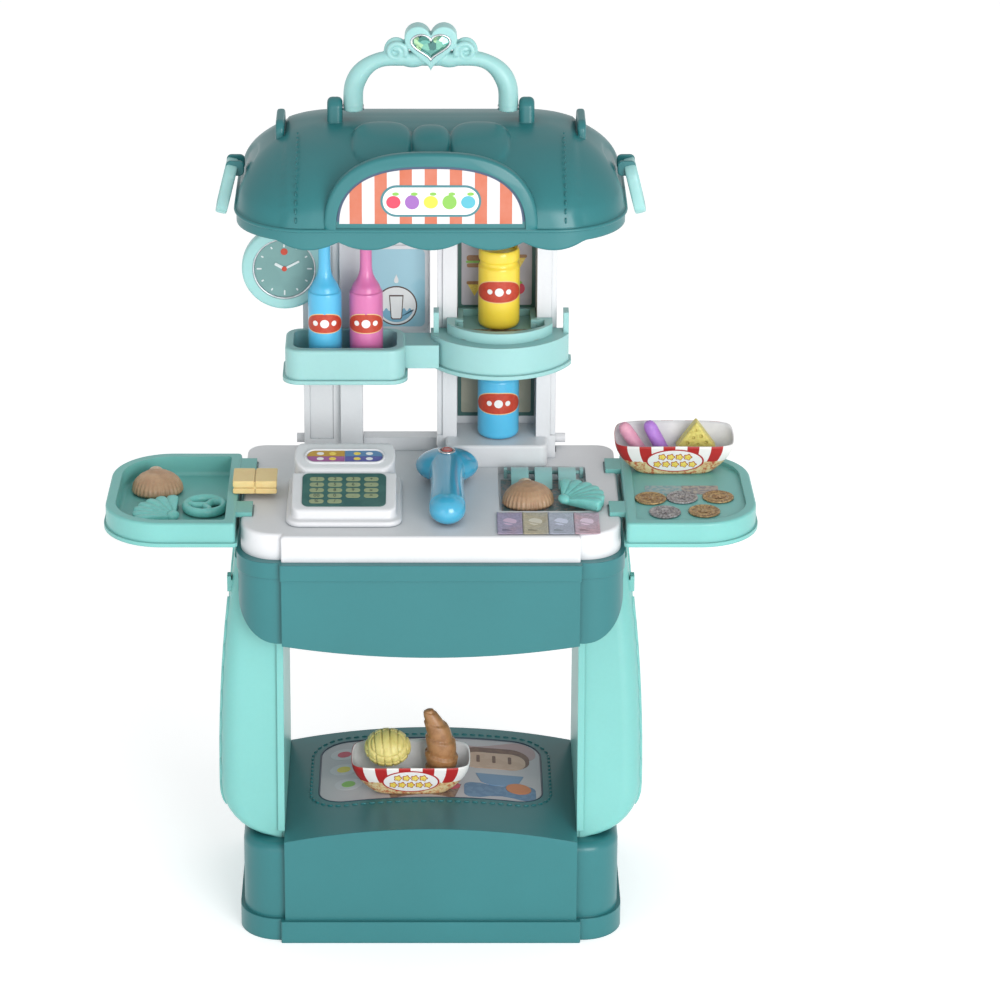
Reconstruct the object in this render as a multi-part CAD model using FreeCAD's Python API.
import FreeCAD, Part
import math
import os

V = FreeCAD.Vector

# Driving dimensions, millimetres. +Z up, front towards -Y, origin at the bottom centre.
WALL = 2.5
GAP = 0.4

PANEL_HALF = 108.0
BASE_HALF = 139.0
BASE_FRONT = -98.5
BASE_BACK = 76.5
PLINTH_OUT = 3.0
PLINTH_HEIGHT = 17.5
BASE_SIDE_TOP = 77.0
BASE_EDGE_TOP = 82.0
BASE_CROWN_TOP = 93.0

SCREW_XS = (-90, 90)
SCREW_YS = (-60, 50)
PICTURE_HALF = 84.0
PICTURE_FRONT = -45.5
PICTURE_BACK = 58.5
PICTURE_CORNER = 22.0
LABEL_SUNK = 0.5
LABEL_FLOOR = 1.4

LEG_INNER = 108.0
LEG_OUTER = 155.0
LEG_FRONT = -80.0
LEG_BACK = 74.0
LEG_TOP = 286.0
LEG_NECK_FRONT = -58.8
LEG_PANEL = 2.0
LEG_RIB = 2.5
LEG_CORNER = 14.0
LEG_FOOT_RADIUS = 36.0
LEG_WAIST = 130.0
LEG_TAPER = 11.5
LUG_YS = (-40.0, 46.0)
LUG_OUT = 149.0

CASE_HALF = 140.0
CASE_FRONT = -89.0
CASE_BACK = 97.0
CASE_BOTTOM = 236.0
CASE_BELLY = 227.0
CASE_TOP = 300.0
CASE_LEDGE = 3.0
CASE_LEDGE_DEPTH = 6.0
STEP_BACK = 5.0
SIDE_CORNER = 26.0
RIM_BAND = 12.5

COUNTER_HALF = 138.0
COUNTER_FRONT = -84.0
COUNTER_TOP = 320.0
PAN_X0 = 50.0
PAN_X1 = 115.0
PAN_FRONT = -35.0
PAN_BACK = 52.0
PAN_FLOOR = 314.5

WING_TIP = 240.0
WING_EDGE = 139.0
WING_FRONT = -70.0
WING_BACK = 71.0
WING_TOP = 324.0
WING_BOTTOM = 306.0
TAB_YS = (-34.0, 50.0)
TAB_WIDTH = 22.0
TAB_REACH = 9.0

REAR_PLANE = 101.5
POST_FRONT = 69.5
POST_TOP = 563.0

CANOPY_HALF = 139.0
CANOPY_FRONT = -91.5
CANOPY_BACK = 93.5
CANOPY_CORNER = 52.0
SEAM = 556.0
WINDOW_HALF = 65.5
SCALLOP_WIDTH = 43.0
SCALLOP_COUNT = 5
SCALLOP_DROP = 16.0

PIN_RADIUS = 1.98
PIN_BORE = 2.05
HANDLE_PIVOT_Z = 616.0
HANDLE_HALF = 55.0
HANDLE_BAR = 7.2
HANDLE_RISE = 36.0

RING_PIVOT_X = 142.0
RING_PIVOT_Z = 573.0
RING_TILT = 19.0
RING_WIDTH = 8.4

CLIP_PIVOT_Y = 44.0
CLIP_PIVOT_Z = 318.5
CLIP_XS = (66.0, 83.5, 101.0)
CLIP_WIDTH = 13.0


def box(x0, x1, y0, y1, z0, z1):
    return Part.makeBox(x1 - x0, y1 - y0, z1 - z0, V(x0, y0, z0))


def rod(radius, start, end):
    along = end - start
    return Part.makeCylinder(radius, along.Length, start, along)


def flat(z):
    return lambda a, b: V(a, b, z)


def upright(y):
    return lambda a, b: V(a, y, b)


def sideways(x):
    return lambda a, b: V(x, a, b)


def rounded_wire(corners, place):
    """Closed wire through (a, b, radius) corners, each rounded by its own radius."""
    count = len(corners)
    arcs = []
    for i, (a, b, radius) in enumerate(corners):
        here = V(a, b, 0)
        if radius == 0:
            arcs.append((here, None, here))
            continue
        before = V(corners[i - 1][0], corners[i - 1][1], 0) - here
        after = V(corners[(i + 1) % count][0], corners[(i + 1) % count][1], 0) - here
        before.normalize()
        after.normalize()
        half = before.getAngle(after) / 2
        reach = radius / math.tan(half)
        inward = before + after
        inward.normalize()
        middle = here + inward * (radius / math.sin(half) - radius)
        arcs.append((here + before * reach, middle, here + after * reach))
    edges = []
    for i, (start, middle, end) in enumerate(arcs):
        if middle is not None:
            points = [place(p.x, p.y) for p in (start, middle, end)]
            edges.append(Part.Arc(*points).toShape())
        following = arcs[(i + 1) % count][0]
        if (following - end).Length > 1e-6:
            edges.append(Part.LineSegment(place(end.x, end.y), place(following.x, following.y)).toShape())
    return Part.Wire(edges)


def prism(corners, place, along):
    return Part.Face(rounded_wire(corners, place)).extrude(along)


def rect(a0, a1, b0, b1, radius):
    return [(a0, b0, radius), (a1, b0, radius), (a1, b1, radius), (a0, b1, radius)]


def plate(x0, x1, y0, y1, z0, z1, radius):
    return prism(rect(x0, x1, y0, y1, radius), flat(z0), V(0, 0, z1 - z0))


def loft(sections):
    """Smooth solid through rounded rectangles: half x, half y, corner radius, z, centre x, centre y."""
    wires = []
    for half_x, half_y, radius, z, cx, cy in sections:
        wires.append(rounded_wire(rect(cx - half_x, cx + half_x, cy - half_y, cy + half_y, radius), flat(z)))
    return Part.makeLoft(wires, True, False)


def mirrored(shape):
    return shape.mirror(V(0, 0, 0), V(1, 0, 0))


def revolve(profile, cx, cy):
    """Solid of revolution about a vertical axis; profile is (radius, z) from the axis to the axis."""
    edges = []
    for (r0, z0), (r1, z1) in zip(profile, profile[1:] + profile[:1]):
        edges.append(Part.LineSegment(V(cx + r0, cy, z0), V(cx + r1, cy, z1)).toShape())
    return Part.Face(Part.Wire(edges)).revolve(V(cx, cy, 0), V(0, 0, 1), 360)


def filleted(shape, radius, wanted):
    edges = [edge for edge in shape.Edges if wanted(edge)]
    return shape.makeFillet(radius, edges)


def edge_at_z(z):
    return lambda e: abs(e.BoundBox.ZMin - z) < 0.01 and abs(e.BoundBox.ZMax - z) < 0.01


def fuse_all(shapes):
    return shapes[0].multiFuse(shapes[1:]).removeSplitter()


def stepped_plan(half, front, back, grow=0.0, corner=30.0):
    """Plan whose middle panel stands forward of two rounded corners."""
    panel = PANEL_HALF + grow
    side = half + grow
    near = front - grow
    far = back + grow
    stepped = front + STEP_BACK - grow
    return [
        (-panel, near, 1.5), (panel, near, 1.5), (panel, stepped, 0),
        (side, stepped, corner), (side, far, corner / 2),
        (-side, far, corner / 2), (-side, stepped, corner), (-panel, stepped, 0),
    ]


def arched_block(x_half, y0, y1, z0, z_edge, z_mid):
    """Block whose top is an arc across its width."""
    edges = [
        Part.LineSegment(V(-x_half, y0, z0), V(x_half, y0, z0)).toShape(),
        Part.LineSegment(V(x_half, y0, z0), V(x_half, y0, z_edge)).toShape(),
        Part.Arc(V(x_half, y0, z_edge), V(0, y0, z_mid), V(-x_half, y0, z_edge)).toShape(),
        Part.LineSegment(V(-x_half, y0, z_edge), V(-x_half, y0, z0)).toShape(),
    ]
    return Part.Face(Part.Wire(edges)).extrude(V(0, y1 - y0, 0))


# ---------------------------------------------------------------- base
def base_form(inset, z0):
    """The base without its plinth, shrunk by inset."""
    middle = arched_block(PANEL_HALF - inset, BASE_FRONT + inset, BASE_BACK - inset, z0,
                          BASE_EDGE_TOP - inset, BASE_CROWN_TOP - inset)
    side_plan = rect(-BASE_HALF + inset, BASE_HALF - inset, BASE_FRONT + STEP_BACK + inset, BASE_BACK - inset,
                     SIDE_CORNER - inset)
    sides = prism(side_plan, flat(z0), V(0, 0, BASE_SIDE_TOP - inset - z0))
    sides = filleted(sides, 6.0, edge_at_z(BASE_SIDE_TOP - inset))
    return middle.fuse(sides)


def picture_plan(inset):
    return rect(-PICTURE_HALF + inset, PICTURE_HALF - inset, PICTURE_FRONT + inset, PICTURE_BACK - inset,
                PICTURE_CORNER - inset)


def crown_height(inset):
    return arched_block(PANEL_HALF, BASE_FRONT, BASE_BACK, 0, BASE_EDGE_TOP - inset, BASE_CROWN_TOP - inset)


def base_shell():
    plinth_plan = stepped_plan(BASE_HALF, BASE_FRONT, BASE_BACK - PLINTH_OUT, PLINTH_OUT)
    plinth = prism(plinth_plan, flat(0), V(0, 0, PLINTH_HEIGHT))
    outer = fuse_all([base_form(0, 0), plinth])
    outer = outer.cut(base_form(WALL, -1))
    hollow_plan = stepped_plan(BASE_HALF, BASE_FRONT, BASE_BACK - PLINTH_OUT, PLINTH_OUT - WALL)
    outer = outer.cut(prism(hollow_plan, flat(-1), V(0, 0, PLINTH_HEIGHT - WALL + 1)))
    recess = prism(picture_plan(0), flat(40), V(0, 0, 80)).cut(crown_height(LABEL_FLOOR))
    shell = outer.cut(recess)
    for x in SCREW_XS:
        for y in SCREW_YS:
            post = rod(4.0, V(x, y, 5.0), V(x, y, 83.5)).cut(rod(1.2, V(x, y, 4.0), V(x, y, 20.0)))
            shell = shell.fuse(post)
    return shell


def base_picture_panel():
    sheet = prism(picture_plan(GAP), flat(40), V(0, 0, 80))
    return sheet.cut(crown_height(LABEL_FLOOR)).common(crown_height(LABEL_SUNK))


def base_floor_plate():
    plan = stepped_plan(BASE_HALF, BASE_FRONT, BASE_BACK - PLINTH_OUT, PLINTH_OUT - WALL - 0.3)
    floor = prism(plan, flat(2.5), V(0, 0, 2.5))
    for x in SCREW_XS:
        for y in SCREW_YS:
            floor = floor.cut(rod(1.6, V(x, y, 0), V(x, y, 10)))
    return floor


def base_feet():
    feet = []
    for x in (-110, 110):
        for y in (-70, 55):
            feet.append(rod(8.0, V(x, y, 0.0), V(x, y, 2.5)))
    return Part.makeCompound(feet)


# ---------------------------------------------------------------- legs
def leg_front(z, inset=0.0):
    """The leg leans back, from LEG_FRONT on the base to LEG_NECK_FRONT where it enters the case."""
    share = (z - BASE_SIDE_TOP) / (CASE_BELLY - BASE_SIDE_TOP)
    return LEG_FRONT + (LEG_NECK_FRONT - LEG_FRONT) * share + inset


def leg_outline():
    """Heights and outer widths of the leg: a round foot, then a slow inward curve above the waist."""
    outline = []
    for degrees in range(0, 91, 10):
        turn = math.radians(degrees)
        rise = LEG_FOOT_RADIUS * (1 - math.cos(turn))
        outline.append((BASE_SIDE_TOP + rise, LEG_OUTER - LEG_FOOT_RADIUS * (1 - math.sin(turn))))
    tall = LEG_TOP - LEG_WAIST
    for i in range(9):
        outline.append((LEG_WAIST + tall * i / 8, LEG_OUTER - LEG_TAPER * (i / 8) ** 2))
    return outline


def leg_form(inset):
    """Loft through level sections, each a rectangle with its two outer corners rounded."""
    inner = LEG_INNER + LEG_PANEL - inset
    wires = []
    for z, outer in leg_outline():
        height = z + inset if z < LEG_WAIST else z - inset
        front = leg_front(height, inset)
        corner = min(LEG_CORNER, outer - LEG_INNER - LEG_PANEL - 1) - inset
        side = outer - inset
        back = LEG_BACK - inset
        section = [(inner, front, 0), (side, front, corner), (side, back, corner), (inner, back, 0)]
        wires.append(rounded_wire(section, flat(height)))
    return Part.makeLoft(wires, True, True)


def leg_side(inset, x, width):
    """Side view of the leg, as a block from x."""
    low = BASE_SIDE_TOP - 1
    high = LEG_TOP + 1
    back = LEG_BACK - inset
    side = [(leg_front(low, inset), low, 0), (back, low, 0), (back, high, 0), (leg_front(high, inset), high, 0)]
    return prism(side, sideways(x), V(width, 0, 0))


def leg_shell():
    shell = leg_form(0).cut(leg_form(WALL))
    for y in LUG_YS:
        stem = box(CASE_HALF, LUG_OUT, y - 4, y + 4, 264, 269)
        head = box(LUG_OUT - 3, LUG_OUT, y - 4, y + 4, 260, 272)
        shell = shell.fuse(stem.fuse(head).cut(leg_form(WALL)))
    return shell


def leg_inner_panel():
    low = BASE_EDGE_TOP + 1
    high = CASE_BOTTOM - 1
    panel = leg_side(0.5, LEG_INNER, LEG_PANEL)
    panel = panel.common(box(LEG_INNER, LEG_OUTER, LEG_FRONT, LEG_BACK, BASE_SIDE_TOP, LEG_TOP))
    rib = [
        (leg_front(low) - LEG_RIB, low, 0), (leg_front(low) - 0.02, low, 0),
        (leg_front(high) - 0.02, high, 0), (leg_front(high) - LEG_RIB, high, 0),
    ]
    web = [
        (leg_front(low) - LEG_RIB, low, 0), (leg_front(low) + 0.7, low, 0),
        (leg_front(high) + 0.7, high, 0), (leg_front(high) - LEG_RIB, high, 0),
    ]
    rib = prism(rib, sideways(LEG_INNER), V(2 * LEG_RIB, 0, 0))
    web = prism(web, sideways(LEG_INNER), V(LEG_PANEL, 0, 0))
    return fuse_all([panel, rib, web])


# ---------------------------------------------------------------- case and counter
def case_form(inset):
    middle = arched_block(PANEL_HALF - inset, CASE_FRONT + inset, CASE_BACK - inset, -CASE_TOP,
                          -CASE_BOTTOM - inset, -CASE_BELLY - inset)
    middle = middle.mirror(V(0, 0, 0), V(0, 0, 1))
    side_profile = [
        (-CASE_HALF + inset, CASE_BOTTOM + inset, 30), (CASE_HALF - inset, CASE_BOTTOM + inset, 30),
        (CASE_HALF - inset, CASE_TOP, 0), (-CASE_HALF + inset, CASE_TOP, 0),
    ]
    depth = V(0, CASE_BACK - CASE_FRONT - STEP_BACK - 2 * inset, 0)
    sides = prism(side_profile, upright(CASE_FRONT + STEP_BACK + inset), depth)
    plan = rect(-CASE_HALF + inset, CASE_HALF - inset, CASE_FRONT + STEP_BACK + inset, CASE_BACK - inset,
                SIDE_CORNER - inset)
    sides = sides.common(prism(plan, flat(CASE_BELLY), V(0, 0, 80)))
    return middle.fuse(sides)


def counter_case():
    band_plan = stepped_plan(CASE_HALF, CASE_FRONT, CASE_BACK, 1.0, SIDE_CORNER + 1)
    band = prism(band_plan, flat(CASE_TOP - RIM_BAND), V(0, 0, RIM_BAND))
    outer = fuse_all([case_form(0), band])
    back = CASE_BACK - WALL
    cavity = box(-104, 104, CASE_FRONT + WALL, back, CASE_BELLY - 1, CASE_TOP - CASE_LEDGE)
    mouth = box(-104, 104, COUNTER_FRONT + CASE_LEDGE_DEPTH, back, CASE_TOP - CASE_LEDGE - 1, CASE_TOP + 1)
    cavity = cavity.fuse(mouth)
    bowl = arched_block(106, CASE_FRONT, CASE_BACK, -CASE_TOP - 2, -CASE_BOTTOM - WALL, -CASE_BELLY - WALL)
    cavity = cavity.common(bowl.mirror(V(0, 0, 0), V(0, 0, 1)))
    shell = outer.cut(cavity)
    pocket = leg_pocket()
    return shell.cut(pocket).cut(mirrored(pocket))


def leg_pocket():
    """Room for one leg in the case, with a thin-walled front corner and a lightening pocket behind."""
    inner = LEG_INNER - GAP
    top = LEG_TOP + GAP
    mouth = box(inner, LEG_OUTER + 10, LEG_NECK_FRONT - GAP - 0.2, LEG_BACK + GAP, CASE_BELLY - 5, top)
    corner = case_form(WALL).common(box(inner, CASE_HALF, CASE_FRONT, LEG_NECK_FRONT, CASE_BELLY, top))
    rear = box(LEG_INNER + 3, CASE_HALF - 4, LEG_BACK + 4, CASE_BACK - 4, CASE_BOTTOM + 12, CASE_TOP + 1)
    return fuse_all([mouth, corner]).fuse(rear)


def counter_top():
    plan = stepped_plan(COUNTER_HALF, COUNTER_FRONT, CASE_BACK, 0.0, 27.0)
    top = prism(plan, flat(CASE_TOP), V(0, 0, COUNTER_TOP - CASE_TOP))
    top = filleted(top, 2.5, edge_at_z(COUNTER_TOP))
    under_plan = stepped_plan(COUNTER_HALF, COUNTER_FRONT, CASE_BACK, -WALL, 24.5)
    shell = top.cut(prism(under_plan, flat(CASE_TOP - 1), V(0, 0, COUNTER_TOP - CASE_TOP - 2.0)))
    pan = box(PAN_X0 - WALL, PAN_X1 + WALL, PAN_FRONT - WALL, PAN_BACK + WALL,
              PAN_FLOOR - WALL, COUNTER_TOP - 2)
    shell = shell.fuse(pan).cut(plate(PAN_X0, PAN_X1, PAN_FRONT, PAN_BACK, PAN_FLOOR, 330, 3.0))
    for side in (-1, 1):
        for y in TAB_YS:
            near, far = sorted((side * (WING_EDGE - TAB_REACH - 1), side * (WING_EDGE + 2)))
            shell = shell.cut(box(near, far, y - TAB_WIDTH / 2 - GAP, y + TAB_WIDTH / 2 + GAP, 319.0, 330))
            low, high = sorted((side * 130.2, side * 133.8))
            shell = shell.cut(box(low, high, y - 6.4, y + 6.4, 310, 330))
    for x0, x1 in ((-96.0, -50.0), (3.5, 94.5)):
        shell = shell.cut(box(x0, x1, 81.5, 94.0, 312.0, 330.0))
    return shell


def base_screws():
    screws = []
    for x in SCREW_XS:
        for y in SCREW_YS:
            shank = rod(1.2, V(x, y, 2.0), V(x, y, 14.0))
            head = rod(2.8, V(x, y, 1.2), V(x, y, 2.5))
            screws.append(shank.fuse(head))
    return Part.makeCompound(screws)


# ---------------------------------------------------------------- register
REGISTER_X0 = -105.0
REGISTER_X1 = -21.0
REGISTER_FRONT = -67.0
KEY_FRONT = -61.0
KEY_BACK = -13.0
KEY_FRONT_Z = 331.0
KEY_BACK_Z = 343.5
KEY_LABEL_X0 = -93.5
KEY_LABEL_X1 = -32.5


def register_housing():
    foot = plate(REGISTER_X0, REGISTER_X1, REGISTER_FRONT, 26.0, COUNTER_TOP, 324.5, 11.0)
    foot = filleted(foot, 1.5, edge_at_z(324.5))
    wedge_profile = [
        (KEY_FRONT, 323, 0), (KEY_BACK, 323, 0), (KEY_BACK, KEY_BACK_Z, 4), (KEY_FRONT, KEY_FRONT_Z, 3),
    ]
    wedge = prism(wedge_profile, sideways(REGISTER_X0 + 4), V(REGISTER_X1 - REGISTER_X0 - 8, 0, 0))
    outline = plate(REGISTER_X0 + 4, REGISTER_X1 - 4, KEY_FRONT - 1, KEY_BACK + 12, 320, 360, 9.0)
    wedge = wedge.common(outline)
    display_profile = [(-15, 323, 0), (21, 323, 3), (21, 351, 5), (14, 353.5, 4), (-15, 344.5, 4)]
    display = prism(display_profile, sideways(REGISTER_X0 + 5), V(REGISTER_X1 - REGISTER_X0 - 10, 0, 0))
    display = display.common(plate(REGISTER_X0 + 5, REGISTER_X1 - 5, -17, 22, 320, 362, 18.0))
    housing = fuse_all([foot, wedge, display])
    return housing.cut(plate(REGISTER_X0 + 9, REGISTER_X1 - 9, KEY_FRONT + 4, 16, 319, 328, 6.0))


def slope_prism(x0, x1, y0, y1, start, end, thickness, lift, radius):
    """Rounded plate on a slope that rises from start (y, z) to end (y, z)."""
    angle = math.degrees(math.atan2(end[1] - start[1], end[0] - start[0]))
    slab = plate(x0, x1, y0, y1, lift, lift + thickness, radius)
    slab.rotate(V(0, 0, 0), V(1, 0, 0), angle)
    slab.translate(V(0, start[0], start[1]))
    return slab


def register_keypad_label():
    start = (KEY_FRONT, KEY_FRONT_Z)
    end = (KEY_BACK, KEY_BACK_Z)
    return slope_prism(KEY_LABEL_X0, KEY_LABEL_X1, 4.5, 44.5, start, end, 0.6, 0.05, 5.0)


# ---------------------------------------------------------------- cash tray
def cash_recess_label():
    return box(PAN_X0 + 2, PAN_X1 - 2, PAN_FRONT + 2, PAN_BACK - 14, PAN_FLOOR, PAN_FLOOR + 0.5)


def cash_clip_rod():
    ends = [rod(1.4, V(56.5, CLIP_PIVOT_Y, CLIP_PIVOT_Z), V(111.0, CLIP_PIVOT_Y, CLIP_PIVOT_Z))]
    for x in (54.5, 111.0):
        ends.append(box(x, x + 2.5, CLIP_PIVOT_Y - 2.5, CLIP_PIVOT_Y + 2.5, PAN_FLOOR, 321.5))
    return fuse_all(ends)


def cash_clip(x):
    """Springy paper clip: an arched strip with an eye round the rod."""
    half = CLIP_WIDTH / 2
    outer = rod(2.9, V(x - half, CLIP_PIVOT_Y, CLIP_PIVOT_Z), V(x + half, CLIP_PIVOT_Y, CLIP_PIVOT_Z))
    crest = (CLIP_PIVOT_Y - 12, 326.0)
    tip = (CLIP_PIVOT_Y - 29, 316.5)
    start = (CLIP_PIVOT_Y + 0.5, CLIP_PIVOT_Z + 2.8)
    thick = 1.8
    edges = [
        Part.Arc(V(x - half, *start), V(x - half, *crest), V(x - half, *tip)).toShape(),
        Part.LineSegment(V(x - half, *tip), V(x - half, tip[0] + thick, tip[1])).toShape(),
        Part.Arc(V(x - half, tip[0] + thick, tip[1]), V(x - half, crest[0], crest[1] - thick),
                 V(x - half, start[0] - 1.5, start[1] - 2.4)).toShape(),
        Part.LineSegment(V(x - half, start[0] - 1.5, start[1] - 2.4), V(x - half, *start)).toShape(),
    ]
    strip = Part.Face(Part.Wire(edges)).extrude(V(CLIP_WIDTH, 0, 0))
    start = V(x - half - 1, CLIP_PIVOT_Y, CLIP_PIVOT_Z)
    eye = rod(1.46, start, start + V(2 * half + 2, 0, 0))
    return outer.fuse(strip).cut(eye).removeSplitter()


# ---------------------------------------------------------------- wings
def wing_plan(inset):
    return [
        (WING_EDGE + 1 + inset, WING_FRONT + inset, 3),
        (WING_TIP - inset, WING_FRONT + inset, 44 - inset),
        (WING_TIP - 3 - inset, WING_BACK - inset, 46 - inset),
        (WING_EDGE + 1 + inset, WING_BACK - inset, 3),
    ]


def wing_blank():
    body = prism(wing_plan(1.5), flat(WING_BOTTOM), V(0, 0, WING_TOP - WING_BOTTOM))
    body = filleted(body, 2.0, edge_at_z(WING_TOP))
    lip = prism(wing_plan(0), flat(WING_BOTTOM), V(0, 0, 3.0))
    parts = [body, lip]
    for y in TAB_YS:
        half = TAB_WIDTH / 2
        parts.append(box(WING_EDGE - TAB_REACH, WING_EDGE + 4, y - half, y + half, 319.2, WING_TOP - 1))
        parts.append(box(130.6, 133.4, y - 6, y + 6, 311.0, 320))
    return fuse_all(parts)


def left_wing_tray():
    cavity = prism(wing_plan(9.0), flat(WING_BOTTOM + 3), V(0, 0, 30))
    cavity = filleted(cavity, 3.0, edge_at_z(WING_BOTTOM + 3))
    return mirrored(wing_blank().cut(cavity))


def right_wing_tray():
    shallow = prism(wing_plan(9.0), flat(WING_TOP - 3), V(0, 0, 30))
    hollow = prism(wing_plan(4.5), flat(WING_BOTTOM - 1), V(0, 0, 13))
    return wing_blank().cut(shallow).cut(hollow)


COIN_CENTRES = ((161.0, -15.5), (184.2, -13.6), (210.7, -12.6), (170.3, -41.7), (199.0, -39.8))
COIN_RADIUS = 11.6
COIN_THICK = 1.4
COIN_LOW = WING_TOP - 2.8


def play_coins():
    coins = []
    for x, y in COIN_CENTRES:
        coins.append(rod(COIN_RADIUS, V(x, y, COIN_LOW), V(x, y, COIN_LOW + COIN_THICK)))
    return Part.makeCompound(coins)


# ---------------------------------------------------------------- uprights
def left_upright():
    wide = box(-95, -67, 78, REAR_PLANE, COUNTER_TOP, POST_TOP)
    strip = box(-67.5, -51, 72, REAR_PLANE, COUNTER_TOP, POST_TOP)
    foot = box(-94, -52, 82.5, 93, 313.5, 322)
    wing = box(-52, -0.5, 97.5, REAR_PLANE, 400, POST_TOP)
    post = fuse_all([wide, strip, foot, wing])
    hollows = [
        box(-92.5, -69.5, 80.5, REAR_PLANE + 1, 323, POST_TOP - 3),
        box(-65, -53.5, 74.5, REAR_PLANE + 1, 323, POST_TOP - 3),
        box(-90.5, -73, 77, 79.2, 332, POST_TOP + 1),
    ]
    return post.cut(Part.makeCompound(hollows))


RAIL_XS = (4.8, 78.7)
RAIL_WIDTH = 14.7


def right_upright():
    rails = [
        box(x0, x0 + RAIL_WIDTH, POST_FRONT, REAR_PLANE, COUNTER_TOP, POST_TOP)
        .cut(box(edge, edge + 5, POST_FRONT - 1, POST_FRONT + 1.6, 338, POST_TOP + 1))
        for x0, edge in zip(RAIL_XS, (RAIL_XS[0] - 1, RAIL_XS[1] + RAIL_WIDTH - 4))
    ]
    rear = box(19, 79, 98, REAR_PLANE, COUNTER_TOP, POST_TOP)
    step = plate(11, 87, 50.5, 99, COUNTER_TOP, 337, 6.0)
    step = filleted(step, 2.0, edge_at_z(337))
    foot = box(5.5, 92.5, 82.5, 93, 313.5, 322)
    frame = fuse_all(rails + [rear, step, foot])
    frame = frame.cut(plate(14, 84, 53.5, 80, 319, 334.5, 4.0))
    for x0 in RAIL_XS:
        hollow = box(x0 + WALL, x0 + RAIL_WIDTH - WALL, POST_FRONT + 4, REAR_PLANE + 1, 339, POST_TOP - 3)
        frame = frame.cut(hollow)
    return frame


def upright_crossbar():
    bar = box(-50.8, 4.6, 84, 97, COUNTER_TOP, 330.5)
    knobs = [
        rod(3.6, V(-101, 92, 327.5), V(-95, 92, 327.5)),
        rod(3.6, V(93.4, 92, 327.5), V(101.5, 92, 327.5)),
    ]
    return Part.makeCompound([bar] + knobs)


def back_picture_panel():
    return box(20.3, 77.9, 97.2, 98.0, 343, 545)


def picture_card():
    return plate_upright(-49.5, -2.0, 412, 479, 96.7, 97.5, 4.0)


def plate_upright(x0, x1, z0, z1, y0, y1, radius):
    return prism(rect(x0, x1, z0, z1, radius), upright(y0), V(0, y1 - y0, 0))


SHELF_X = 51.0
SHELF_BACK = 69.3


def half_round(radius, front, y1, z0, z1):
    """Plan closed by a straight back and an arc through the front."""
    x0 = SHELF_X - radius
    x1 = SHELF_X + radius
    shoulder = y1 - 12
    edges = [
        Part.LineSegment(V(x1, y1, z0), V(x0, y1, z0)).toShape(),
        Part.LineSegment(V(x0, y1, z0), V(x0, shoulder, z0)).toShape(),
        Part.Arc(V(x0, shoulder, z0), V(SHELF_X, front, z0), V(x1, shoulder, z0)).toShape(),
        Part.LineSegment(V(x1, shoulder, z0), V(x1, y1, z0)).toShape(),
    ]
    return Part.Face(Part.Wire(edges)).extrude(V(0, 0, z1 - z0))


def upper_shelf():
    tray = plate(-107, -19, 20, SHELF_BACK, 398, 424, 12.0)
    tray = filleted(tray, 2.0, edge_at_z(424)).fuse(plate(-109, -17, 18, SHELF_BACK, 398, 401, 13.0))
    bridge = box(-20, 6, 42, SHELF_BACK, 402, 420)
    disc = half_round(51, 24, SHELF_BACK, 403, 424).fuse(half_round(53, 21.5, SHELF_BACK, 400, 403))
    ring = half_round(39, 33, SHELF_BACK, 421, 432)
    lips = [box(x, x + 4, 58, SHELF_BACK, 420, 440) for x in (2.0, 98.0)]
    shelf = fuse_all([tray, bridge, disc, ring] + lips)
    shelf = shelf.cut(plate(-101, -25, 26, SHELF_BACK - 5, 402, 430, 8.0))
    shelf = shelf.cut(half_round(33, 39, SHELF_BACK - 5, 424.5, 440))
    shelf = shelf.cut(half_round(46, 28, SHELF_BACK - 5, 399, 418))
    tongue = box(20.2, 78.0, SHELF_BACK - 6, 96.9, 421, 430)
    tongue = tongue.cut(box(24, 74, SHELF_BACK - 7, 93.5, 424.5, 432))
    return shelf.cut(box(24, 74, SHELF_BACK - 8, SHELF_BACK + 1, 424.5, 440)).fuse(tongue).removeSplitter()


def round_sign_frame():
    centre = V(-108.0, 66.0, 471.0)
    back = centre + V(0, 8, 0)
    disc = rod(31.5, centre, back)
    disc = filleted(disc, 2.5, lambda e: abs(e.BoundBox.YMax - 66.0) < 0.01 and e.BoundBox.XLength > 50)
    disc = disc.cut(rod(23.5, centre - V(0, 1, 0), centre + V(0, 1.6, 0)))
    arm = box(-101, -95.2, 70, 92, 455, 487)
    return disc.fuse(arm)


# ---------------------------------------------------------------- canopy
CANOPY_SECTIONS = (
    (139.0, 92.5, 52.0, 0.0), (136.5, 89.0, 54.0, 13.0), (130.0, 80.0, 54.0, 25.0),
    (119.0, 66.0, 50.0, 36.0), (105.0, 46.0, 36.0, 44.5), (86.0, 22.0, 16.0, 49.5),
)
CANOPY_MID = (CANOPY_FRONT + CANOPY_BACK) / 2


def canopy_form(inset):
    sections = []
    for half_x, half_y, radius, rise in CANOPY_SECTIONS:
        lowered = SEAM + rise - (inset if rise else 1.0 * (inset > 0))
        sections.append((half_x - inset, half_y - inset, radius - inset, lowered, 0, CANOPY_MID))
    return loft(sections)


def skirt_plan(inset):
    return rect(-CANOPY_HALF + inset, CANOPY_HALF - inset, CANOPY_FRONT + inset, CANOPY_BACK - inset,
                CANOPY_CORNER - inset)


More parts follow.
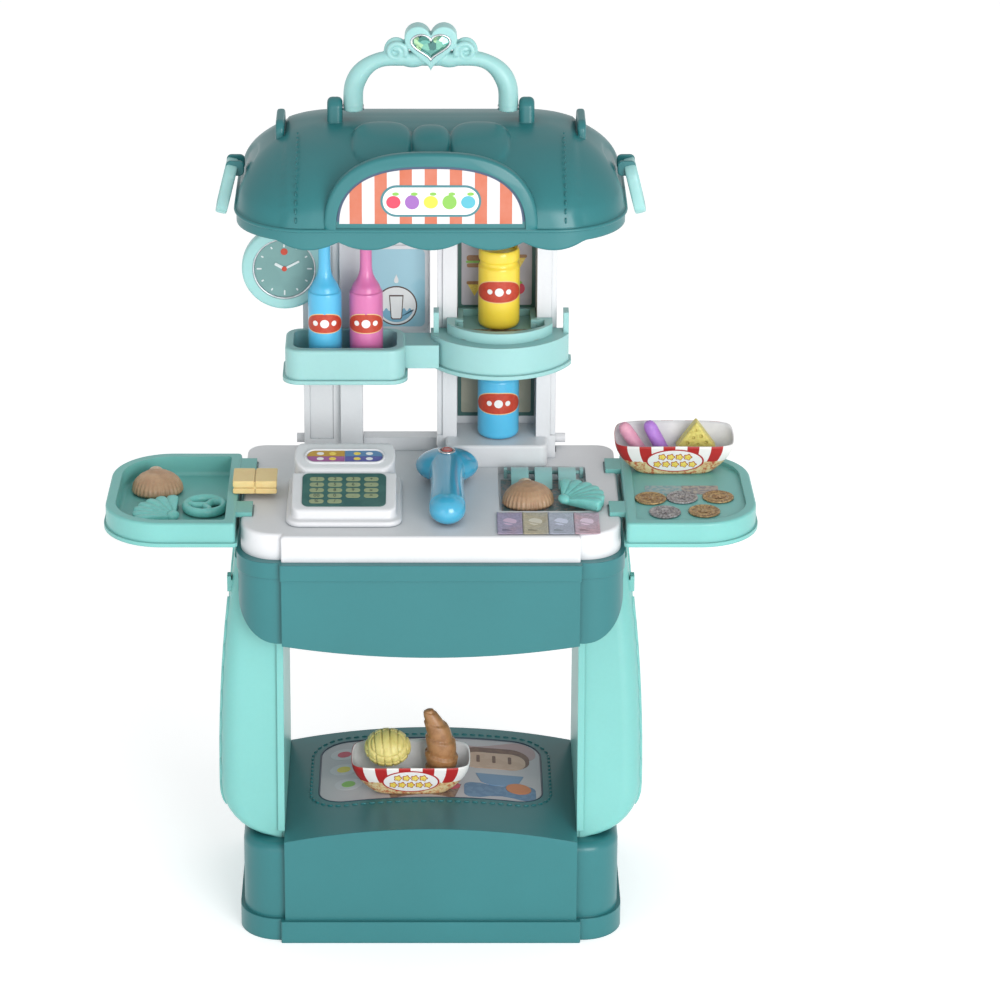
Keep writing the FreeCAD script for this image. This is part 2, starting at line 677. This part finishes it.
def scallop_cutter():
    """Everything below the wavy lower edge of the front valance."""
    reach = SCALLOP_COUNT * SCALLOP_WIDTH / 2
    cusp = SEAM - 10.0
    low = SEAM - SCALLOP_DROP
    edges = []
    x = -reach
    for _ in range(SCALLOP_COUNT):
        points = (V(x, 0, cusp), V(x + SCALLOP_WIDTH / 2, 0, low), V(x + SCALLOP_WIDTH, 0, cusp))
        edges.append(Part.Arc(*points).toShape())
        x += SCALLOP_WIDTH
    corners = [
        V(reach, 0, cusp), V(170, 0, cusp), V(170, 0, 500),
        V(-170, 0, 500), V(-170, 0, cusp), V(-reach, 0, cusp),
    ]
    for a, b in zip(corners, corners[1:]):
        edges.append(Part.LineSegment(a, b).toShape())
    face = Part.Face(Part.Wire(edges))
    face.translate(V(0, CANOPY_FRONT - 5, 0))
    return face.extrude(V(0, 200, 0))


def handle_bracket():
    inner = HANDLE_HALF + HANDLE_BAR + GAP
    bracket = rod(7.5, V(inner, 0, HANDLE_PIVOT_Z), V(inner + 11, 0, HANDLE_PIVOT_Z))
    return bracket.fuse(box(inner, inner + 11, -7.5, 7.5, 600, HANDLE_PIVOT_Z))


def ring_lug():
    """Two cheeks on the end of the canopy that hold a strap ring."""
    cheeks = []
    for y in (-9.0, 6.0):
        cheek = box(134, RING_PIVOT_X + 3.0, y, y + 3, RING_PIVOT_Z - 5, RING_PIVOT_Z + 5)
        bore = rod(PIN_BORE, V(RING_PIVOT_X, y - 1, RING_PIVOT_Z), V(RING_PIVOT_X, y + 4, RING_PIVOT_Z))
        cheeks.append(cheek.cut(bore))
    return cheeks


def window_profile(inset, below, drop=0.0):
    side = WINDOW_HALF - inset
    shoulder = SEAM + 30 - drop
    crest = SEAM + 46 - inset - drop
    return [
        (-side, SEAM + below, 3), (-side, shoulder, 26), (-30, crest, 60),
        (30, crest, 60), (side, shoulder, 26), (side, SEAM + below, 3),
    ]


def window_hood():
    """Arched hood round the window, which runs back and down into the dome."""
    face = rounded_wire(window_profile(-9, -1), upright(CANOPY_FRONT))
    ledge = rounded_wire(window_profile(-9, -1), upright(CANOPY_FRONT + 5))
    tail = rounded_wire(window_profile(-9, -1, 14.0), upright(CANOPY_FRONT + 34))
    return Part.makeLoft([face, ledge, tail], True, True)


FIN_THICK = 6.0


def canopy_shell():
    outer = canopy_form(0)
    skirt = prism(skirt_plan(0), flat(SEAM - SCALLOP_DROP), V(0, 0, SCALLOP_DROP)).cut(scallop_cutter())
    rise = window_hood()
    rise = rise.common(prism(skirt_plan(0), flat(SEAM - 2), V(0, 0, 80)))
    solid = fuse_all([outer, skirt, rise])
    solid = fuse_all([solid, handle_bracket(), mirrored(handle_bracket())])
    for x in (-107.0, 107.0):
        fin = plate_upright(-14, 26, 582, 608, 0, FIN_THICK, 4)
        fin.rotate(V(0, 0, 0), V(0, 0, 1), 90)
        fin.translate(V(x + FIN_THICK / 2, 0, 0))
        solid = solid.fuse(fin)
    solid = solid.cut(canopy_form(WALL))
    solid = solid.cut(prism(skirt_plan(WALL), flat(500), V(0, 0, SEAM - 500)))
    lugs = ring_lug()
    solid = fuse_all([solid] + lugs + [mirrored(lug) for lug in lugs])
    solid = solid.cut(rod(PIN_BORE, V(-80, 0, HANDLE_PIVOT_Z), V(80, 0, HANDLE_PIVOT_Z)))
    solid = solid.cut(box(-97, 95.5, 68, 120, 530, POST_TOP + 0.4))
    return solid.cut(prism(window_profile(-0.4, 0), upright(CANOPY_FRONT - 1), V(0, 3.0, 0)))


def canopy_window_panel():
    return prism(window_profile(0.2, 0.4), upright(CANOPY_FRONT + 0.4), V(0, 1.5, 0))


def canopy_inner_plate():
    return prism(skirt_plan(WALL + 6.0), flat(POST_TOP + 0.2), V(0, 0, 2.5))


def handle_pins():
    return Part.makeCompound([
        rod(PIN_RADIUS, V(-72, 0, HANDLE_PIVOT_Z), V(-47.5, 0, HANDLE_PIVOT_Z)),
        rod(PIN_RADIUS, V(47.5, 0, HANDLE_PIVOT_Z), V(72, 0, HANDLE_PIVOT_Z)),
    ])


HEART_Z = 657.5


def heart(scale, y0, y1):
    """Heart outline by arcs: two lobes and a point."""
    def at(a, b):
        return V(a * scale, y0, HEART_Z + b * scale)
    edges = [
        Part.Arc(at(0, 14), at(-9, 20.5), at(-18.5, 12)).toShape(),
        Part.Arc(at(-18.5, 12), at(-14.5, 0), at(0, -13)).toShape(),
        Part.Arc(at(0, -13), at(14.5, 0), at(18.5, 12)).toShape(),
        Part.Arc(at(18.5, 12), at(9, 20.5), at(0, 14)).toShape(),
    ]
    return Part.Face(Part.Wire(edges)).extrude(V(0, y1 - y0, 0))


def handle():
    z0 = HANDLE_PIVOT_Z - 4.5
    half = HANDLE_HALF
    rise = HANDLE_RISE
    top = HANDLE_PIVOT_Z + rise
    bend = 26.5
    cut = bend * (1 - math.sqrt(0.5))
    path = [
        Part.LineSegment(V(-half, 0, z0), V(-half, 0, top - bend)).toShape(),
        Part.Arc(V(-half, 0, top - bend), V(-half + cut, 0, top - cut), V(-half + bend, 0, top)).toShape(),
        Part.LineSegment(V(-half + bend, 0, top), V(half - bend, 0, top)).toShape(),
        Part.Arc(V(half - bend, 0, top), V(half - cut, 0, top - cut), V(half, 0, top - bend)).toShape(),
        Part.LineSegment(V(half, 0, top - bend), V(half, 0, z0)).toShape(),
    ]
    profile = Part.Wire(Part.makeCircle(HANDLE_BAR, V(-half, 0, z0), V(0, 0, 1)))
    bar = Part.Wire(path).makePipeShell([profile], True, False)
    curls = [rod(9.0, V(x, -6, 657), V(x, 6, 657)) for x in (-25.0, 25.0)]
    solid = fuse_all([bar, heart(1.0, -7, 7)] + curls)
    solid = solid.cut(rod(PIN_BORE, V(-80, 0, HANDLE_PIVOT_Z), V(80, 0, HANDLE_PIVOT_Z)))
    return solid.cut(heart(0.76, -8, -5))


def handle_gem():
    return heart(0.74, -7.0, -5.0)


def strap_ring():
    """Closed strap ring hanging from its pin, one piece with the pin."""
    outer = [(-15, -35, 11), (15, -35, 11), (13, 2.6, 2), (-13, 2.6, 2)]
    inner = [(-10, -30, 7), (10, -30, 7), (9.6, -2.4, 1), (-9.6, -2.4, 1)]
    at = sideways(0)
    thick = V(RING_WIDTH, 0, 0)
    loop = prism(outer, at, thick).cut(prism(inner, at, thick))
    loop.translate(V(-RING_WIDTH / 2, 0, 0))
    loop = loop.cut(box(-10, 10, -9.4, -5.6, -6, 6)).cut(box(-10, 10, 5.6, 9.4, -6, 6))
    pin = rod(PIN_RADIUS, V(0, -10.5, 0), V(0, 10.5, 0))
    ring = loop.fuse(pin)
    ring.rotate(V(0, 0, 0), V(0, 1, 0), -RING_TILT)
    ring.translate(V(RING_PIVOT_X, 0, RING_PIVOT_Z))
    return ring


# ---------------------------------------------------------------- scanner
SCANNER_X = 12.0
SCANNER_SPLIT = 331.0


def scanner_form():
    grip = plate(SCANNER_X - 13.5, SCANNER_X + 13.5, -72, 38, COUNTER_TOP + GAP, 342, 13.0)
    grip = filleted(grip, 7.0, lambda e: edge_at_z(342)(e) or edge_at_z(COUNTER_TOP + GAP)(e))
    head = rod(23.5, V(SCANNER_X, 26, 324), V(SCANNER_X, 26, 343))
    head = filleted(head, 6.0, lambda e: e.BoundBox.XLength > 40 and e.BoundBox.ZLength < 0.01)
    return grip.fuse(head)


def scanner_half(z0, z1):
    half = scanner_form().common(box(-60, 90, -100, 90, z0, z1))
    half = half.cut(box(SCANNER_X - 9, SCANNER_X + 9, -60, 16, 323.5, 338.5))
    return half.cut(rod(4.6, V(SCANNER_X, 26, 338), V(SCANNER_X, 26, 346)))


def scanner_button():
    return filleted(rod(4.3, V(SCANNER_X, 26, 340.0), V(SCANNER_X, 26, 345.0)), 1.0, edge_at_z(345.0))


def scanner_board():
    return box(SCANNER_X - 8, SCANNER_X + 8, -58, 14, 336.0, 337.6)


def scanner_cells():
    cells = [rod(5.7, V(SCANNER_X, y, 329.6), V(SCANNER_X, y + 2.6, 329.6)) for y in (-40, -37, -34)]
    return Part.makeCompound(cells)


# ---------------------------------------------------------------- shop goods
BOTTLE_RADIUS = 12.3
BOTTLE_FLOOR = 402.3


def bottle(x, y):
    profile = [
        (0, 0), (10.8, 0), (BOTTLE_RADIUS, 1.5), (BOTTLE_RADIUS, 57), (11.8, 60.5), (10.2, 64.5),
        (7.6, 68.5),
        (5.6, 73), (4.7, 79), (4.6, 107), (6.0, 108), (6.0, 114), (5.0, 115), (0, 115),
    ]
    return revolve([(r, z + BOTTLE_FLOOR) for r, z in profile], x, y)


CAN_PROFILE = (
    (0, 0), (13.2, 0), (15.4, 2.5), (15.4, 47), (14.2, 49), (14.2, 51), (15.2, 52.5), (15.2, 58), (13.8, 60),
    (0, 60),
)


def can(x, y, z, scale=1.0):
    return revolve([(r, z + h * scale) for r, h in CAN_PROFILE], x, y)


def snack_box(cx, cy, z):
    """Boat-shaped open snack box."""
    def hull(inset, floor):
        return loft([
            (27 - inset, 9 - inset * 0.5, 6 - inset * 0.5, z + floor, cx, cy - 2),
            (37 - inset, 15 - inset, 10 - inset, z + 15, cx, cy),
            (44.5 - inset, 19 - inset, 13 - inset, z + 31 + (0.5 if inset else 0), cx, cy + 2),
        ])
    return hull(0, 0).cut(hull(1.4, 1.4))


def clam(cx, cy, z, turn):
    shell = Part.makeSphere(18.5, V(0, 0, 0))
    squash = FreeCAD.Matrix()
    squash.scale(V(1.0, 0.86, 0.42))
    shell = shell.transformGeometry(squash)
    shell.translate(V(0, 0, 7.9))
    shell = shell.cut(box(-30, 30, -30, 30, -5, 0.3))
    hinge = box(-5, 5, 12.5, 17.5, 3.5, 9.5)
    shell = shell.fuse(hinge)
    shell.rotate(V(0, 0, 0), V(0, 0, 1), turn)
    shell.translate(V(cx, cy, z))
    return shell


def scallop(cx, cy, z, turn):
    """Fan of ribs spreading from a hinge."""
    ribs = []
    for i in range(7):
        angle = math.radians(-54 + 18 * i)
        tip = V(29 * math.sin(angle), 29 * math.cos(angle) - 14, 3.6)
        cone = Part.makeCone(1.8, 5.0, (tip - V(0, -13, 3.0)).Length, V(0, -13, 3.0), tip - V(0, -13, 3.0))
        ribs.append(cone)
    ribs.append(Part.makeSphere(5.4, V(0, -12, 3.2)))
    fan = fuse_all(ribs).common(box(-30, 30, -30, 30, 0, 11))
    fan.rotate(V(0, 0, 0), V(0, 0, 1), turn)
    fan.translate(V(cx, cy, z))
    return fan


def pretzel_wheel(cx, cy, z):
    ring = Part.makeTorus(13.6, 3.4, V(cx, cy, z + 3.4))
    parts = [ring]
    for angle in (30, 150, 270):
        reach = V(13.6 * math.cos(math.radians(angle)), 13.6 * math.sin(math.radians(angle)), 0)
        parts.append(rod(2.6, V(cx, cy, z + 3.4), V(cx, cy, z + 3.4) + reach))
    return fuse_all(parts)


def wafer_block():
    block = box(-145.5, -112.5, -13.0, 14.0, WING_TOP + 0.2, WING_TOP + 10.2)
    block = block.cut(box(-129.6, -128.4, -20, 20, WING_TOP + 9.0, WING_TOP + 12))
    for y in (-4.3, 4.7):
        block = block.cut(box(-150, -110, y - 0.6, y + 0.6, WING_TOP + 9.0, WING_TOP + 12))
    return block


STICK_RADIUS = 5.0


def stick(x, y, z, lean):
    body = rod(STICK_RADIUS, V(0, 0, 0), V(0, 0, 26)).fuse(Part.makeSphere(STICK_RADIUS, V(0, 0, 26)))
    body.rotate(V(0, 0, 0), V(0, 1, 0), lean)
    body.translate(V(x, y, z))
    return body


def cheese_wedge(x, y, z):
    profile = [(-18, 0, 2), (18, 0, 2), (0, 23.5, 3)]
    return prism(profile, lambda a, b: V(x + a, y, z + b), V(0, 12, 0))


def melon_bun(x, y, z):
    bun = Part.makeSphere(16.5, V(0, 0, 0))
    squash = FreeCAD.Matrix()
    squash.scale(V(1.1, 1.0, 1.0))
    bun = bun.transformGeometry(squash)
    bun.translate(V(x, y, z + 16.5))
    return bun.cut(box(x - 30, x + 30, y - 30, y + 30, z - 2, z + 3))


def croissant(x, y, z):
    parts = []
    for i, radius in enumerate((8.5, 10.6, 12.0, 11.5, 9.6, 7.2, 4.8)):
        lean = (i - 1) * -1.6 if i > 1 else 0
        parts.append(Part.makeSphere(radius, V(x + lean, y, z + 10 + 8.1 * i)))
    return fuse_all(parts)


def play_banknotes():
    notes = []
    for i in range(4):
        x = 48.0 + 18.6 * i
        notes.append(box(x, x + 18.2, -80.5, -39.5, COUNTER_TOP + 0.1, COUNTER_TOP + 0.7))
    return Part.makeCompound(notes)


PICTURE_TOP = BASE_CROWN_TOP - LABEL_SUNK
SNACK_Y = 42.0
BASE_SNACK = (-15.0, -31.0)
TRAY_FLOOR = WING_BOTTOM + 3.2


def nodes():
    clips = {"cash_clip_" + name: cash_clip(x) for name, x in zip(("left", "middle", "right"), CLIP_XS)}
    right_shell = leg_shell()
    right_panel = leg_inner_panel()
    right_ring = strap_ring()
    return {
        "base_shell": base_shell(),
        "base_floor_plate": base_floor_plate(),
        "base_feet": base_feet(),
        "base_picture_panel": base_picture_panel(),
        "left_leg_shell": mirrored(right_shell),
        "right_leg_shell": right_shell,
        "left_leg_inner_panel": mirrored(right_panel),
        "right_leg_inner_panel": right_panel,
        "counter_case": counter_case(),
        "counter_top": counter_top(),
        "base_screws": base_screws(),
        "register_housing": register_housing(),
        "register_keypad_label": register_keypad_label(),
        "cash_recess_label": cash_recess_label(),
        "cash_clip_rod": cash_clip_rod(),
        **clips,
        "left_wing_tray": left_wing_tray(),
        "right_wing_tray": right_wing_tray(),
        "play_coins": play_coins(),
        "left_upright": left_upright(),
        "right_upright": right_upright(),
        "upright_crossbar": upright_crossbar(),
        "back_picture_panel": back_picture_panel(),
        "picture_card": picture_card(),
        "upper_shelf": upper_shelf(),
        "round_sign_frame": round_sign_frame(),
        "canopy_shell": canopy_shell(),
        "canopy_inner_plate": canopy_inner_plate(),
        "canopy_window_panel": canopy_window_panel(),
        "handle_pins": handle_pins(),
        "handle": handle(),
        "handle_gem": handle_gem(),
        "left_strap_ring": mirrored(right_ring),
        "right_strap_ring": right_ring,
        "scanner_lower_shell": scanner_half(300, SCANNER_SPLIT),
        "scanner_upper_shell": scanner_half(SCANNER_SPLIT, 360),
        "scanner_button": scanner_button(),
        "scanner_board": scanner_board(),
        "scanner_cells": scanner_cells(),
        "blue_bottle": bottle(-77.8, 45.0),
        "pink_bottle": bottle(-47.5, 45.0),
        "yellow_can": can(SHELF_X - 0.5, 76.0, 424.8),
        "blue_can": can(SHELF_X - 0.5, 76.5, 337.3, 0.97),
        "tray_snack_box": snack_box(181.0, SNACK_Y, WING_TOP - 2.7),
        "pink_stick": stick(158.4, SNACK_Y + 3, WING_TOP + 7.7, -33),
        "purple_stick": stick(174.6, SNACK_Y + 3, WING_TOP + 7.7, -27),
        "cheese_wedge": cheese_wedge(197.2, SNACK_Y - 1, WING_TOP + 14.5),
        "base_snack_box": snack_box(BASE_SNACK[0], BASE_SNACK[1], PICTURE_TOP + 0.2),
        "melon_bun": melon_bun(BASE_SNACK[0] - 17.2, BASE_SNACK[1] + 2, PICTURE_TOP + 16),
        "croissant": croissant(BASE_SNACK[0] + 24, BASE_SNACK[1] + 2, PICTURE_TOP + 3.5),
        "wafer_block": wafer_block(),
        "tray_clam": clam(-203.0, 28.0, TRAY_FLOOR, 8),
        "tray_scallop": scallop(-199.0, -20.0, TRAY_FLOOR, 60),
        "pretzel_wheel": pretzel_wheel(-166.0, -8.0, TRAY_FLOOR),
        "counter_clam": clam(71.5, -10.0, 315.2, 10),
        "counter_scallop": scallop(108.0, -15.0, COUNTER_TOP + 0.3, -60),
        "play_banknotes": play_banknotes(),
    }


def main():
    os.makedirs("parts", exist_ok=True)
    for name, shape in nodes().items():
        solids = len(shape.Solids)
        print(f"{name}: {solids} solid(s), {shape.Volume / 1000:.1f} cm3, valid {shape.isValid()}")
        shape.exportStep(f"parts/{name}.step")


main()
